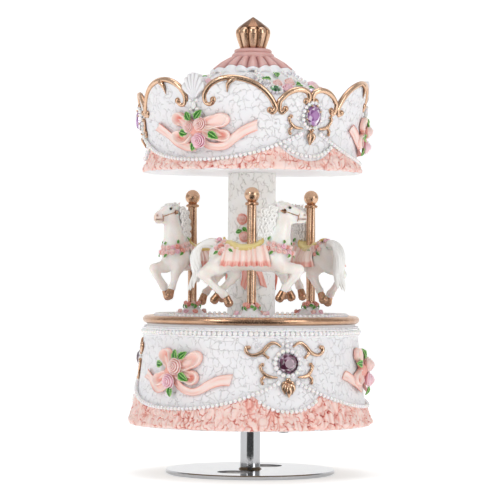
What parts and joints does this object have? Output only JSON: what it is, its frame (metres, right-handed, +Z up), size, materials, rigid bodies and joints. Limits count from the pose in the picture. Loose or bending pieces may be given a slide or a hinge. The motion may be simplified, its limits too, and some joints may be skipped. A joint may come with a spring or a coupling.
{
  "type": "carousel music box",
  "caption": "Wind-up carousel music box: galloping horses on a round base under a crown canopy, turning on a polished disc stand.",
  "frame": {"origin": "on the table, under the centre of the stand disc", "axes": "+Z up the axis the carousel turns on, +X to the right of the front view, -Y towards the viewer"},
  "size_m": [0.1104, 0.1098, 0.204],
  "materials": {
    "chrome": "polished",
    "steel": "satin",
    "spring_steel": "blued",
    "brass": "machined",
    "nylon": "moulded nylon",
    "fan_plastic": "moulded",
    "base_board": "pressed board",
    "white_resin": "cast resin, crackled, satin",
    "column_resin": "cast resin, crackled",
    "ruffle_resin": "painted cast resin, wrinkled",
    "ribbon_resin": "painted cast resin",
    "rose_resin": "painted cast resin",
    "leaf_resin": "painted cast resin",
    "pearl": "pearl",
    "gold_paint": "rose-gold paint",
    "gem_plum": "faceted, foiled",
    "gem_lilac": "faceted, foiled",
    "horse_resin": "cast resin, porcelain look",
    "saddle_resin": "painted cast resin",
    "cloth_resin": "painted cast resin",
    "collar_resin": "painted cast resin"
  },
  "bodies": {
    "stand": {"stand_disc": "chrome", "stand_stem": "chrome", "winding_arbor": "steel", "crown_wheel": "brass"},
    "carousel": {"base_drum": "white_resin", "base_ruffle": "ruffle_resin", "base_bottom_plate": "base_board", "bottom_screws": "steel", "base_pearl_rope": "pearl", "base_pearl_swags": "pearl", "base_bows": "ribbon_resin", "base_roses": "rose_resin", "base_leaves": "leaf_resin", "base_scrolls": "gold_paint", "base_gems": "gem_plum", "base_gem_pearls": "pearl", "platform": "white_resin", "gold_rim": "gold_paint", "platform_pearls": "pearl", "movement_bedplate": "steel", "arbor_bush": "brass", "spring_housing": "steel", "mainspring": "spring_steel", "comb": "steel", "comb_screws": "steel", "governor_post": "steel", "column": "column_resin", "column_spray": "rose_resin", "pole_mounds": "white_resin", "mound_roses": "rose_resin", "pole_front": "gold_paint", "pole_right": "gold_paint", "pole_left": "gold_paint", "horse_front": "horse_resin", "horse_right": "horse_resin", "horse_left": "horse_resin", "saddles": "saddle_resin", "saddle_cloths": "cloth_resin", "horse_garlands": "rose_resin", "canopy_ceiling": "white_resin", "canopy_crown": "white_resin", "canopy_ruffle": "ruffle_resin", "canopy_pearl_swags": "pearl", "crown_trim": "gold_paint", "crown_shells": "white_resin", "canopy_bows": "ribbon_resin", "canopy_roses": "rose_resin", "canopy_leaves": "leaf_resin", "canopy_scrolls": "gold_paint", "canopy_gems": "gem_lilac", "canopy_gem_pearls": "pearl", "roof": "white_resin", "roof_skirt": "collar_resin", "finial_collar": "collar_resin", "finial": "gold_paint"},
    "cylinder": {"pin_cylinder": "brass", "cylinder_wheels": "brass"},
    "governor": {"governor_wheel": "nylon"},
    "fly": {"governor_worm": "steel", "governor_fan": "fan_plastic"}
  },
  "joints": [
    {"name": "carousel_spin", "type": "hinge", "parent": "stand", "child": "carousel", "pos_m": [0, 0, 0.024], "axis": [0, 0, 1], "continuous": true},
    {"name": "cylinder_spin", "type": "hinge", "parent": "carousel", "child": "cylinder", "pos_m": [0.028, 0, 0.03685], "axis": [1, 0, 0], "continuous": true},
    {"name": "governor_spin", "type": "hinge", "parent": "carousel", "child": "governor", "pos_m": [0.0305, 0.00854, 0.04539], "axis": [1, 0, 0], "continuous": true},
    {"name": "fly_spin", "type": "hinge", "parent": "carousel", "child": "fly", "pos_m": [0.0305, 0.01526, 0.04], "axis": [0, 0, 1], "continuous": true}
  ],
  "couplings": [
    {"joint": "cylinder_spin", "follows": "carousel_spin", "ratio": -2},
    {"joint": "governor_spin", "follows": "carousel_spin", "ratio": 6},
    {"joint": "fly_spin", "follows": "carousel_spin", "ratio": -120}
  ]
}
